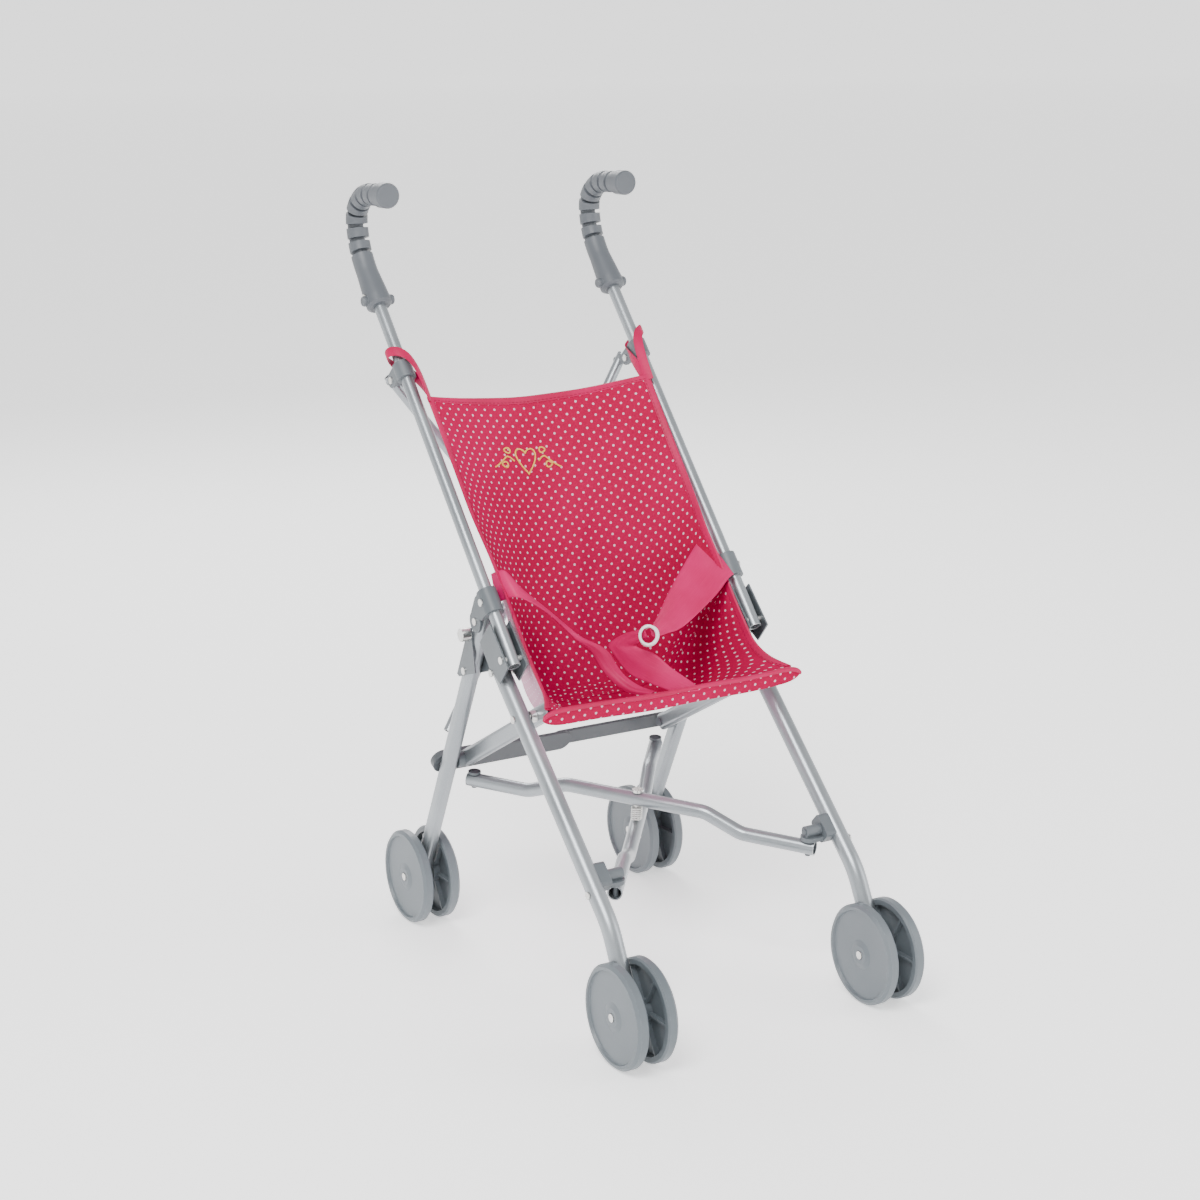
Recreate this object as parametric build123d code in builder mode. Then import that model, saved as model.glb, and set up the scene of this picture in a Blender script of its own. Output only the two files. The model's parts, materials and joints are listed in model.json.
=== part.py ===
from build123d import *
import os
from math import cos, hypot, radians, sin

# Doll stroller that folds like an umbrella.  Millimetres, +Z up, -Y is the front, X is across.
# The origin is on the ground, under the middle of the stroller's bounding box.

# ---- driving dimensions ----
HALF_TRACK = 100.0  # centre plane to the plane of each side frame
ORIGIN_Y = 21.35  # the origin stands this far behind the middle of the wheelbase
WHEEL_R = 35.7
WHEEL_T = 8.8
WHEEL_GAP = 13.2  # between the two wheels of a pair
AXLE_R = 2.0
HANDLE_R = 4.75
LEG_R = 6.35
TUBE_WALL = 0.9
RIVET_R = 2.0
RUN_FIT = 0.06  # radial clearance of a turning pin
PRESS_FIT = 0.05  # radial gap of a collar on its tube
RIVET_HEAD_R = 2.7
RIVET_HEAD_T = 0.9
HANDLE_ANGLE = 49.4  # of the handle tube, from the ground
LEG_ANGLE = 44.1  # of the front leg, from the ground
RAIL_LANE = 85.5  # centre plane to the middle of each seat rail
RAIL_H = 13.0
RAIL_T = 7.0
SPACER_R = 4.2  # of the spacer between the front leg and the seat rail
JOINT_ALONG = 180.0  # down the front leg to the middle of its joint block
BACK_BAR_R = 4.0
CROSS_R = 5.25
BRACE_W = 17.0
BRACE_ALONG = 143.5  # from the rear leg's pivot, down the leg
BRACE_T = 5.6
WEB_T = 0.9  # thickness of the strap webbing
CLEAR = 0.3  # gap between parts that move past each other


def yz(y, z):
    """A point of the side view, measured from the middle of the wheelbase."""
    return Vector(y - ORIGIN_Y, z)


HANDLE_PIVOT = yz(-1.0, 241.4)
LEG_POINT = yz(15.9, 230.0)
FRONT_AXLE = yz(-156.7, WHEEL_R)
REAR_AXLE = yz(155.0, WHEEL_R)
REAR_PIVOT = yz(39.0, 260.5)
RAIL_PIVOT = yz(-13.5, 201.5)


def direction(angle):
    return Vector(cos(radians(angle)), sin(radians(angle)))


def local(origin, along, across, forward, out):
    """A point of the side view given along a member and square to it."""
    return origin + forward * along + out * across


HANDLE_DIR = direction(HANDLE_ANGLE)
HANDLE_OUT = direction(HANDLE_ANGLE - 90)
LEG_DIR = direction(LEG_ANGLE + 180)
REAR_DIR = (REAR_AXLE - REAR_PIVOT).normalized()
REAR_OUT = Vector(-REAR_DIR.Y, REAR_DIR.X)
REAR_LENGTH = (REAR_AXLE - REAR_PIVOT).length


def on_handle(along, across=0.0):
    return local(HANDLE_PIVOT, along, across, HANDLE_DIR, HANDLE_OUT)


def on_leg(along, across=0.0):
    return local(LEG_POINT, along, across, LEG_DIR, Vector(-LEG_DIR.Y, LEG_DIR.X))


def on_rear(along, across=0.0):
    return local(REAR_PIVOT, along, across, REAR_DIR, REAR_OUT)


RAIL_REAR = on_rear(135.0)
RAIL_DIR = (RAIL_PIVOT - RAIL_REAR).normalized()
RAIL_LENGTH = (RAIL_PIVOT - RAIL_REAR).length


def at_side(point, x=-HALF_TRACK):
    """A point of the side view as a point in space."""
    return Vector(x, point.X, point.Y)


def side_plane(x):
    """Sketch plane of the side view: its X is the part's Y, its Y the part's Z, and it faces +X."""
    return Plane(origin=(x, 0, 0), x_dir=(0, 1, 0), z_dir=(1, 0, 0))


def square_plane(point, forward, x=-HALF_TRACK):
    """Sketch plane square to a member that lies in the side view."""
    return Plane(origin=at_side(point, x), x_dir=(1, 0, 0), z_dir=(0, forward.X, forward.Y))


def flat(points):
    return [(p.X, p.Y) for p in points]


def cross_pin(point, radius, x_from, x_to):
    """A round pin across the stroller, made inside the open part."""
    with BuildSketch(side_plane(x_from)) as disc:
        with Locations((point.X, point.Y)):
            Circle(radius)
    extrude(disc.sketch, amount=x_to - x_from)


def cross_hole(point, radius, x_from=-HALF_TRACK - 30, x_to=-HALF_TRACK + 30):
    """A hole across the stroller, cut from the open part."""
    with BuildSketch(side_plane(x_from)) as disc:
        with Locations((point.X, point.Y)):
            Circle(radius)
    extrude(disc.sketch, amount=x_to - x_from, mode=Mode.SUBTRACT)


def outer_head(point, out):
    """A rivet head on the outer face of the left side, out from the side plane."""
    cross_pin(point, RIVET_HEAD_R, -HALF_TRACK - out - RIVET_HEAD_T, -HALF_TRACK - out)


def through_rivet(point, out):
    """A rivet through the left side, with a head on both faces."""
    cross_pin(point, RIVET_R, -HALF_TRACK - out - 0.1, -HALF_TRACK + out + 0.1)
    outer_head(point, out)
    cross_pin(point, RIVET_HEAD_R, -HALF_TRACK + out, -HALF_TRACK + out + RIVET_HEAD_T)


os.makedirs("parts", exist_ok=True)


def save(builder, name):
    builder.part.label = name
    export_step(builder.part, f"parts/{name}.step")


def save_both(builder, name):
    """Writes the left-hand piece and its mirror image on the right."""
    save(builder, f"{name}_left")
    with BuildPart() as other:
        add(mirror(builder.part, about=Plane.YZ))
    save(other, f"{name}_right")


OUTER = -HALF_TRACK - 30.0  # a plane outside everything on the left

# ---- handle: steel tube, moulded grip, plastic sleeve with the rear leg's ears ----
TUBE_END = -6.0
TUBE_TOP = 322.0
with BuildPart() as handle_tube:
    with BuildSketch(square_plane(on_handle(TUBE_END), HANDLE_DIR)):
        Circle(HANDLE_R)
        Circle(HANDLE_R - TUBE_WALL, mode=Mode.SUBTRACT)
    extrude(amount=TUBE_TOP - TUBE_END)
    cross_hole(HANDLE_PIVOT, RIVET_R + RUN_FIT)
save_both(handle_tube, "handle_tube")

GRIP_FROM = 298.0
GRIP_R = 9.0
COLLAR_R = GRIP_R + 0.6
with BuildPart() as grip:
    with BuildSketch(square_plane(on_handle(GRIP_FROM), HANDLE_DIR)):
        Circle(COLLAR_R)
    extrude(amount=24)
    with BuildLine(side_plane(-HALF_TRACK)) as grip_line:
        FilletPolyline(
            *flat([on_handle(GRIP_FROM + 20), on_handle(352), yz(224, 546.0), yz(171.0, 549.0)]), radius=24
        )
    with BuildSketch(square_plane(on_handle(GRIP_FROM + 20), HANDLE_DIR)):
        Circle(GRIP_R - 1.0)
    sweep(path=grip_line.line)
    with BuildSketch(Plane(origin=at_side(yz(171.5, 549.0)), z_dir=(0, 1, 0))):
        Circle(GRIP_R + 0.4)
    extrude(amount=14)
    with BuildSketch(Plane(origin=at_side(yz(170.3, 549.0)), z_dir=(0, 1, 0))):
        Circle(GRIP_R - 0.8)
    extrude(amount=1.2, taper=-45)
    with BuildSketch(square_plane(on_handle(GRIP_FROM - 1), HANDLE_DIR)):
        Circle(HANDLE_R + PRESS_FIT)
    extrude(amount=TUBE_TOP - GRIP_FROM + 1.5, mode=Mode.SUBTRACT)
save_both(grip, "grip")

EAR_OUT = 7.2
EAR_GAP = 5.3
SLEEVE_FROM = 36.0
SLEEVE_TO = 54.5
SLEEVE_R = 7.2
SLEEVE_RIVET = 46.0
with BuildPart() as side_sleeve:
    with BuildSketch(square_plane(on_handle(SLEEVE_FROM), HANDLE_DIR)):
        Circle(SLEEVE_R)
    extrude(amount=SLEEVE_TO - SLEEVE_FROM)
    with BuildSketch(side_plane(-HALF_TRACK - EAR_OUT)):
        with Locations((REAR_PIVOT.X, REAR_PIVOT.Y)):
            Circle(8.0)
        with BuildLine():
            Polyline(
                *flat([on_handle(53.5), on_handle(36.5), on_handle(36.5, 9), on_handle(48.8, 18), on_handle(53.5, 6)]),
                close=True,
            )
        make_face()
    extrude(amount=2 * EAR_OUT)
    with BuildSketch(square_plane(on_handle(20), HANDLE_DIR)):
        with Locations((0, 8.4 + 12)):
            Rectangle(2 * EAR_GAP, 24)
        with Locations((0, -8.4 - 12)):
            Rectangle(2 * EAR_GAP, 24)
        Circle(HANDLE_R + PRESS_FIT)
    extrude(amount=50, mode=Mode.SUBTRACT)
    cross_hole(REAR_PIVOT, RIVET_R)
    cross_hole(on_handle(SLEEVE_RIVET), RIVET_R, OUTER, -HALF_TRACK - HANDLE_R)
save_both(side_sleeve, "side_sleeve")

UPPER_ALONG = 241.0
UPPER_ACROSS = 13.0
UPPER = on_handle(UPPER_ALONG, UPPER_ACROSS)
SWIVEL_HALF = 3.6
FORK_OUT = 5.8
FORK_R = 5.6
with BuildPart() as upper_bracket:
    with BuildSketch(square_plane(on_handle(UPPER_ALONG - 8), HANDLE_DIR)):
        Circle(7.0)
    extrude(amount=13)
    with BuildSketch(side_plane(-HALF_TRACK - FORK_OUT)):
        with Locations((UPPER.X, UPPER.Y)):
            Circle(FORK_R)
        with Locations(((UPPER.X + on_handle(UPPER_ALONG).X) / 2, (UPPER.Y + on_handle(UPPER_ALONG).Y) / 2)):
            Rectangle(UPPER_ACROSS, 2 * FORK_R, rotation=HANDLE_ANGLE - 90)
    extrude(amount=2 * FORK_OUT)
    with BuildSketch(side_plane(-HALF_TRACK - SWIVEL_HALF - CLEAR)):
        with Locations((on_handle(UPPER_ALONG, 17).X, on_handle(UPPER_ALONG, 17).Y)):
            Rectangle(19, 40, rotation=HANDLE_ANGLE - 90)
    extrude(amount=2 * (SWIVEL_HALF + CLEAR), mode=Mode.SUBTRACT)
    with BuildSketch(square_plane(on_handle(UPPER_ALONG - 20), HANDLE_DIR)):
        Circle(HANDLE_R + PRESS_FIT)
    extrude(amount=40, mode=Mode.SUBTRACT)
    cross_hole(UPPER, RIVET_R)
save_both(upper_bracket, "upper_bracket")

with BuildPart() as handle_rivets:
    through_rivet(REAR_PIVOT, EAR_OUT)
    through_rivet(UPPER, FORK_OUT)
    outer_head(on_handle(SLEEVE_RIVET), SLEEVE_R)
    cross_pin(on_handle(SLEEVE_RIVET), RIVET_R, -HALF_TRACK - SLEEVE_R, -HALF_TRACK - HANDLE_R - 0.2)
    outer_head(on_handle(GRIP_FROM + 8), COLLAR_R)
save_both(handle_rivets, "handle_rivets")

# ---- front leg: bent steel tube in a steel channel, with the pivot pins riveted in ----
LEG_TOP = -16.0
LEG_BEND = 204.0
LEG_FOOT = 7.0
CHANNEL_RIVET = 2.0
bend_point = on_leg(LEG_BEND)
foot_dir = (FRONT_AXLE - bend_point).normalized()
with BuildPart() as front_leg:
    with BuildLine(side_plane(-HALF_TRACK)) as leg_line:
        FilletPolyline(*flat([on_leg(LEG_TOP), bend_point, FRONT_AXLE + foot_dir * LEG_FOOT]), radius=60)
    with BuildSketch(square_plane(on_leg(LEG_TOP), LEG_DIR)):
        Circle(LEG_R)
        Circle(LEG_R - TUBE_WALL, mode=Mode.SUBTRACT)
    sweep(path=leg_line.line)
    cross_hole(FRONT_AXLE, AXLE_R)
    cross_hole(RAIL_PIVOT, RIVET_R)
    cross_hole(on_leg(CHANNEL_RIVET), RIVET_R)
save_both(front_leg, "front_leg")

PLATE_IN = 6.9
PLATE_T = 1.2
plate = [on_handle(27.5, -3), on_handle(25.4, 20), on_handle(4.3, 19.6), on_handle(-11.3, 13.7), on_handle(-8.5, -5)]
with BuildPart() as channel_bracket:
    for x in (-HALF_TRACK - PLATE_IN - PLATE_T, -HALF_TRACK + PLATE_IN):
        with BuildSketch(side_plane(x)):
            with BuildLine():
                Polyline(*flat(plate), close=True)
            make_face()
        extrude(amount=PLATE_T)
    with BuildSketch(side_plane(-HALF_TRACK - PLATE_IN - 0.5)):
        with BuildLine():
            Polyline(
                *flat([on_handle(9.5, 5.0), on_handle(25.5, 5.0), on_handle(25.5, 6.4), on_handle(9.5, 6.4)]),
                close=True,
            )
        make_face()
    extrude(amount=2 * PLATE_IN + 1.0)
    cross_hole(HANDLE_PIVOT, RIVET_R)
    cross_hole(on_leg(CHANNEL_RIVET), RIVET_R)
save_both(channel_bracket, "channel_bracket")

BAR_PLANE_FRONT = yz(-103.0, 100.0)
BAR_PLANE_REAR = yz(103.0, 121.5)
chord = (BAR_PLANE_REAR - BAR_PLANE_FRONT).normalized()
chord_up = Vector(-chord.Y, chord.X)
KNUCKLE = BAR_PLANE_FRONT + chord_up * 12.4
KNUCKLE_R = 4.0
JOINT_IN = 87.6
with BuildPart() as front_joint:
    with BuildSketch(side_plane(-JOINT_IN - 8.4)):
        with Locations((KNUCKLE.X, KNUCKLE.Y)):
            RectangleRounded(18, 12, 2.5, rotation=LEG_ANGLE)
    extrude(amount=8.4)
    cross_pin(KNUCKLE, 2.2, -JOINT_IN - 1, -JOINT_IN + 13.4)
    with BuildSketch(square_plane(on_leg(120), LEG_DIR)):
        Circle(LEG_R + PRESS_FIT)
    extrude(amount=90, mode=Mode.SUBTRACT)
save_both(front_joint, "front_joint")

with BuildPart() as leg_rivets:
    through_rivet(HANDLE_PIVOT, PLATE_IN + PLATE_T)
    through_rivet(on_leg(CHANNEL_RIVET), PLATE_IN + PLATE_T)
    cross_pin(RAIL_PIVOT, RIVET_R, -HALF_TRACK - LEG_R - 0.1, -RAIL_LANE + RAIL_T / 2 + 0.4)
    outer_head(RAIL_PIVOT, LEG_R)
    cross_pin(RAIL_PIVOT, 3.2, -RAIL_LANE + RAIL_T / 2 + CLEAR, -RAIL_LANE + RAIL_T / 2 + 1.3)
    cross_pin(RAIL_PIVOT, SPACER_R, -HALF_TRACK + LEG_R, -RAIL_LANE - RAIL_T / 2 - 0.2)
    outer_head(on_leg(JOINT_ALONG), LEG_R)
save_both(leg_rivets, "leg_rivets")

SWIVEL_X = 79.0  # centre plane to the upright pin of each cross tube
EAR_LIFT = CROSS_R + 0.35
with BuildPart() as front_swivel:
    cross_pin(KNUCKLE, KNUCKLE_R, -JOINT_IN + CLEAR, -JOINT_IN + 12.4)
    ear_plane = Plane(
        origin=at_side(BAR_PLANE_FRONT + chord_up * EAR_LIFT, -SWIVEL_X),
        x_dir=(1, 0, 0),
        z_dir=(0, chord_up.X, chord_up.Y),
    )
    with BuildSketch(ear_plane):
        Circle(6.0)
        with Locations((-4.2, 0)):
            Rectangle(8.4, 12.0)
    extrude(amount=3.0)
    with BuildSketch(ear_plane.offset(0.5)):
        with Locations((-2.2, 0)):
            Rectangle(12.0, 5.0)
    extrude(amount=5.0)
    cross_hole(KNUCKLE, 2.2 + RUN_FIT, OUTER, 0)
with BuildPart() as right_swivel:
    add(mirror(front_swivel.part, about=Plane.YZ))
save(right_swivel, "front_swivel_right")

with BuildPart() as left_swivel:
    add(front_swivel.part)
    with BuildSketch(ear_plane.offset(-EAR_LIFT - CROSS_R - 1.0)):
        Circle(RIVET_R)
    extrude(amount=2 * CROSS_R + 5.4)
save(left_swivel, "front_swivel_left")

# ---- rear leg: flat-sided steel tube, steel gusset and its stop knob ----
REAR_W = 12.6
REAR_T = 10.0
GUSSET_RIVET = 46.0
with BuildPart() as rear_leg:
    with BuildSketch(square_plane(on_rear(-6.0), REAR_DIR)):
        RectangleRounded(REAR_T, REAR_W, 4.2)
        RectangleRounded(REAR_T - 2 * TUBE_WALL, REAR_W - 2 * TUBE_WALL, 3.3, mode=Mode.SUBTRACT)
    extrude(amount=REAR_LENGTH + 13.0)
    cross_hole(REAR_PIVOT, RIVET_R + RUN_FIT)
    cross_hole(REAR_AXLE, AXLE_R)
    cross_hole(on_rear(GUSSET_RIVET), RIVET_R)
save_both(rear_leg, "rear_leg")

GUSSET_IN = 5.3
GUSSET_T = 1.1
gusset_shape = [on_rear(9.5, 4.5), on_rear(20, 7.9), on_rear(55, 7.9), on_rear(55, 4.5), on_rear(36, -14.5)]
gusset_back = [on_rear(20, 6.6), on_rear(20, 7.9), on_rear(55, 7.9), on_rear(55, 6.6)]
KNOB = on_rear(15.5, 5.0)
with BuildPart() as gusset:
    for x in (-HALF_TRACK - GUSSET_IN - GUSSET_T, -HALF_TRACK + GUSSET_IN):
        with BuildSketch(side_plane(x)):
            with BuildLine():
                Polyline(*flat(gusset_shape), close=True)
            make_face()
            with Locations((KNOB.X, KNOB.Y)):
                Circle(4.6)
        extrude(amount=GUSSET_T)
    with BuildSketch(side_plane(-HALF_TRACK - GUSSET_IN - 0.5)):
        with BuildLine():
            Polyline(*flat(gusset_back), close=True)
        make_face()
    extrude(amount=2 * GUSSET_IN + 1.0)
    cross_hole(on_rear(GUSSET_RIVET), RIVET_R)
save_both(gusset, "gusset")

KNOB_R = 4.8
KNOB_T = 6.8
with BuildPart() as rear_rivets:
    through_rivet(on_rear(GUSSET_RIVET), GUSSET_IN + GUSSET_T)
    cross_pin(KNOB, KNOB_R, -HALF_TRACK - GUSSET_IN - GUSSET_T - KNOB_T, -HALF_TRACK - GUSSET_IN - GUSSET_T)
with BuildPart() as right_rivets:
    add(mirror(rear_rivets.part, about=Plane.YZ))
save(right_rivets, "rear_rivets_right")

STUD_R = 3.2
with BuildPart() as left_rivets:
    add(rear_rivets.part)
    for radius, low, high in (
        (STUD_R, REAR_W / 2, REAR_W / 2 + BRACE_T + 1.2),
        (5.0, REAR_W / 2 + BRACE_T + 1.0, REAR_W / 2 + BRACE_T + 2.4),
    ):
        with BuildSketch(
            Plane(origin=at_side(on_rear(BRACE_ALONG, low)), z_dir=(0, REAR_OUT.X, REAR_OUT.Y))
        ):
            Circle(radius)
        extrude(amount=high - low)
save(left_rivets, "rear_rivets_left")

# ---- seat rail: flat steel tube under each side of the seat, with a moulded joint at its rear end ----
RAIL_PAST_REAR = 1.5
RAIL_PAST_FRONT = 18.0
with BuildPart() as seat_rail:
    with BuildSketch(square_plane(RAIL_REAR - RAIL_DIR * RAIL_PAST_REAR, RAIL_DIR, -RAIL_LANE)):
        RectangleRounded(RAIL_T, RAIL_H, 3.2)
        RectangleRounded(RAIL_T - 2 * TUBE_WALL, RAIL_H - 2 * TUBE_WALL, 2.3, mode=Mode.SUBTRACT)
    extrude(amount=RAIL_LENGTH + RAIL_PAST_REAR + RAIL_PAST_FRONT)
    cross_hole(RAIL_PIVOT, RIVET_R + RUN_FIT)
    cross_hole(RAIL_REAR, RIVET_R)
save_both(seat_rail, "seat_rail")

REAR_JOINT_X = HALF_TRACK - REAR_T / 2 - CLEAR
with BuildPart() as rear_joint:
    cross_pin(RAIL_REAR, 6.0, -REAR_JOINT_X, -RAIL_LANE - RAIL_T / 2 - 0.02)
    cross_pin(RAIL_REAR, RIVET_R, -REAR_JOINT_X, -RAIL_LANE + RAIL_T / 2 + 0.1)
    cross_pin(RAIL_REAR, 3.4, -RAIL_LANE + RAIL_T / 2, -RAIL_LANE + RAIL_T / 2 + 1.2)
save_both(rear_joint, "rear_joint")

# ---- wheels: two moulded wheels on each steel axle ----
HUB_R = 7.5
RIM_IN = 31.0
CAP_SEAT_R = 3.3
BORE_R = AXLE_R + RUN_FIT
RIBS = 6


def wheel_profile():
    """Half section of a wheel: X is the radius, Y runs from the inner side to the outer face."""
    Polyline(
        (BORE_R, 0.0), (HUB_R, 0.0), (HUB_R, 5.2), (RIM_IN, 5.2), (RIM_IN, 0.6), (WHEEL_R - 1.2, 0.6),
        (WHEEL_R, 1.8), (WHEEL_R, WHEEL_T - 2.0), (WHEEL_R - 2.0, WHEEL_T), (RIM_IN + 0.8, WHEEL_T),
        (RIM_IN, WHEEL_T - 1.6), (HUB_R + 3.0, WHEEL_T - 1.6), (HUB_R - 1.0, WHEEL_T - 0.2),
        (CAP_SEAT_R, WHEEL_T - 0.2), (CAP_SEAT_R, WHEEL_T - 1.2), (BORE_R, WHEEL_T - 1.2), close=True,
    )


def make_wheel(name, axle, x_inner, facing):
    """facing is the way the outer face looks, +1 or -1 along X."""
    seat = Plane(origin=(x_inner, axle.X, axle.Y), x_dir=(0, 1, 0), z_dir=(facing, 0, 0))
    section = Plane(origin=seat.origin, x_dir=(0, 1, 0), z_dir=(0, 0, -facing))
    with BuildPart() as wheel:
        with BuildSketch(section):
            with BuildLine():
                wheel_profile()
            make_face()
        revolve(axis=Axis(seat.origin, (1, 0, 0)))
        with BuildSketch(seat.offset(1.6)):
            with PolarLocations((HUB_R + RIM_IN) / 2, RIBS):
                Rectangle(RIM_IN - HUB_R + 1.0, 1.4)
        extrude(amount=4.0)
    save(wheel, name)


AXLE_HALF = WHEEL_GAP / 2 + WHEEL_T
AXLE_CAP_R = 2.9


def make_axle(name, axle, x):
    with BuildPart() as pin:
        cross_pin(axle, AXLE_R, x - AXLE_HALF + 0.4, x + AXLE_HALF - 0.4)
        cross_pin(axle, AXLE_CAP_R, x - AXLE_HALF - 0.3, x - AXLE_HALF + 1.0)
        cross_pin(axle, AXLE_CAP_R, x + AXLE_HALF - 1.0, x + AXLE_HALF + 0.3)
    save(pin, name)


for side, sign in (("left", -1), ("right", 1)):
    for end, axle in (("front", FRONT_AXLE), ("rear", REAR_AXLE)):
        make_axle(f"{end}_axle_{side}", axle, sign * HALF_TRACK)
        make_wheel(f"{end}_wheel_{side}_outer", axle, sign * (HALF_TRACK + WHEEL_GAP / 2), sign)
        make_wheel(f"{end}_wheel_{side}_inner", axle, sign * (HALF_TRACK - WHEEL_GAP / 2), -sign)

# ---- back cross bars: two steel tubes that cross behind the seat ----
BACK_LOW = yz(112.0, 157.0)
BACK_LOW_X = 86.0
back_dir = (BACK_LOW - UPPER).normalized()
back_out = Vector(-back_dir.Y, back_dir.X)
BAR_LIFT = 10.0
back_span = (BACK_LOW - UPPER).length
back_cross = back_span * HALF_TRACK / (HALF_TRACK + BACK_LOW_X)


def back_space(x, along, lift):
    """A point near the plane of the back bars, from the upper pivots."""
    p = local(UPPER, along, lift, back_dir, back_out)
    return Vector(x, p.X, p.Y)


def back_bar(sign, lift):
    """A straight tube from one upper pivot to the far lower corner, with a hole at each joint."""
    start = back_space(sign * HALF_TRACK, 0, lift)
    end = back_space(-sign * BACK_LOW_X, back_span, lift)
    run = (end - start).normalized()
    normal = Vector(0, back_out.X, back_out.Y)
    with BuildSketch(Plane(origin=start - run * 5.0, x_dir=normal, z_dir=run)) as section:
        Circle(BACK_BAR_R)
        Circle(BACK_BAR_R - TUBE_WALL, mode=Mode.SUBTRACT)
    extrude(section.sketch, amount=(end - start).length + 5.0)
    for hole_at in (start, back_space(0, back_cross, lift)):
        with BuildSketch(Plane(origin=hole_at - normal * 10, z_dir=normal)) as disc:
            Circle(1.6 + RUN_FIT)
        extrude(disc.sketch, amount=20, mode=Mode.SUBTRACT)


LIFTS = {"left": BAR_LIFT, "right": BAR_LIFT + 2 * BACK_BAR_R + CLEAR}
for side, sign in (("left", -1), ("right", 1)):
    with BuildPart() as bar:
        back_bar(sign, LIFTS[side])
    save(bar, f"back_bar_{side}")
    with BuildPart() as swivel:
        with BuildSketch(side_plane(sign * HALF_TRACK - SWIVEL_HALF)):
            with Locations((UPPER.X, UPPER.Y)):
                Circle(4.4)
            with BuildLine():
                Polyline(
                    *flat([
                        local(UPPER, -4.0, 0, back_dir, back_out), local(UPPER, 4.0, 0, back_dir, back_out),
                        local(UPPER, 4.0, LIFTS[side] - BACK_BAR_R - CLEAR, back_dir, back_out),
                        local(UPPER, -4.0, LIFTS[side] - BACK_BAR_R - CLEAR, back_dir, back_out),
                    ]),
                    close=True,
                )
            make_face()
        extrude(amount=2 * SWIVEL_HALF)
        cross_hole(UPPER, RIVET_R + RUN_FIT, sign * HALF_TRACK - 30, sign * HALF_TRACK + 30)
        with BuildSketch(
            Plane(
                origin=back_space(sign * HALF_TRACK, 0, LIFTS[side] - BACK_BAR_R - 1.0),
                z_dir=(0, back_out.X, back_out.Y),
            )
        ):
            Circle(1.6)
        extrude(amount=2 * BACK_BAR_R + 1.6)
        with BuildSketch(
            Plane(
                origin=back_space(sign * HALF_TRACK, 0, LIFTS[side] + BACK_BAR_R + CLEAR),
                z_dir=(0, back_out.X, back_out.Y),
            )
        ):
            Circle(3.0)
        extrude(amount=1.0)
    save(swivel, f"upper_swivel_{side}")

with BuildPart() as back_rivet:
    for radius, low, high in (
        (1.6, BAR_LIFT - BACK_BAR_R - 0.5, LIFTS["right"] + BACK_BAR_R + 0.5),
        (3.0, BAR_LIFT - BACK_BAR_R - 1.2, BAR_LIFT - BACK_BAR_R - CLEAR),
        (3.0, LIFTS["right"] + BACK_BAR_R + CLEAR, LIFTS["right"] + BACK_BAR_R + 1.2),
    ):
        with BuildSketch(Plane(origin=back_space(0, back_cross, low), z_dir=(0, back_out.X, back_out.Y))):
            Circle(radius)
        extrude(amount=high - low)
save(back_rivet, "back_rivet")

# ---- lower cross tubes: two bent steel tubes, a bolt and the spring between them ----
CROSS_HALF_GAP = 11.0  # of each tube from their middle plane, where they cross
END_PAST = 5.0
cross_span = (BAR_PLANE_REAR - BAR_PLANE_FRONT).length
cross_reach = hypot(cross_span, 2 * SWIVEL_X)


def cross_space(x, along, lift=0.0):
    p = local(BAR_PLANE_FRONT, along, lift, chord, chord_up)
    return Vector(x, p.X, p.Y)


def cross_tube(sign, lift):
    """Runs from the front pivot on one side to the rear pivot on the other, raised by lift in the middle."""
    start = cross_space(sign * SWIVEL_X, 0)
    end = cross_space(-sign * SWIVEL_X, cross_span)
    run = (end - start).normalized()
    up = Vector(0, chord_up.X, chord_up.Y)
    route = ((-END_PAST, 0), (50, 0), (78, lift), (cross_reach - 74, lift), (cross_reach - 44, 0),
             (cross_reach + END_PAST, 0))
    points = [start + run * along + up * rise for along, rise in route]
    with BuildLine() as line:
        FilletPolyline(*points, radius=22)
    with BuildSketch(Plane(origin=points[0], x_dir=up, z_dir=run)) as section:
        Circle(CROSS_R)
        Circle(CROSS_R - TUBE_WALL, mode=Mode.SUBTRACT)
    sweep(section.sketch, path=line.line)
    for hole_at in (start, end, cross_space(0, cross_span / 2)):
        with BuildSketch(Plane(origin=hole_at - up * 30, z_dir=up)) as disc:
            Circle(RIVET_R + RUN_FIT)
        extrude(disc.sketch, amount=60, mode=Mode.SUBTRACT)


def cross_ear(sign):
    """Swivel ear and pin on the rear end of a cross tube."""
    ear = Plane(
        origin=cross_space(-sign * SWIVEL_X, cross_span, EAR_LIFT - 0.32),
        x_dir=(1, 0, 0),
        z_dir=(0, chord_up.X, chord_up.Y),
    )
    with BuildSketch(ear) as disc:
        Circle(4.8)
    extrude(disc.sketch, amount=1.8)
    with BuildSketch(ear.offset(-EAR_LIFT - CROSS_R - 0.4)) as disc:
        Circle(RIVET_R)
    extrude(disc.sketch, amount=2 * CROSS_R + 1.4)


for side, sign, lift in (("left", -1, -CROSS_HALF_GAP), ("right", 1, CROSS_HALF_GAP)):
    with BuildPart() as tube:
        cross_tube(sign, lift)
    save(tube, f"cross_tube_{side}")
    with BuildPart() as ear_piece:
        cross_ear(sign)
        if side == "right":
            with BuildSketch(
                Plane(origin=cross_space(SWIVEL_X, 0, -CROSS_R - 1.0), z_dir=(0, chord_up.X, chord_up.Y))
            ):
                Circle(RIVET_R)
            extrude(amount=2 * CROSS_R + 1.05)
    save(ear_piece, f"cross_ear_{side}")

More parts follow.
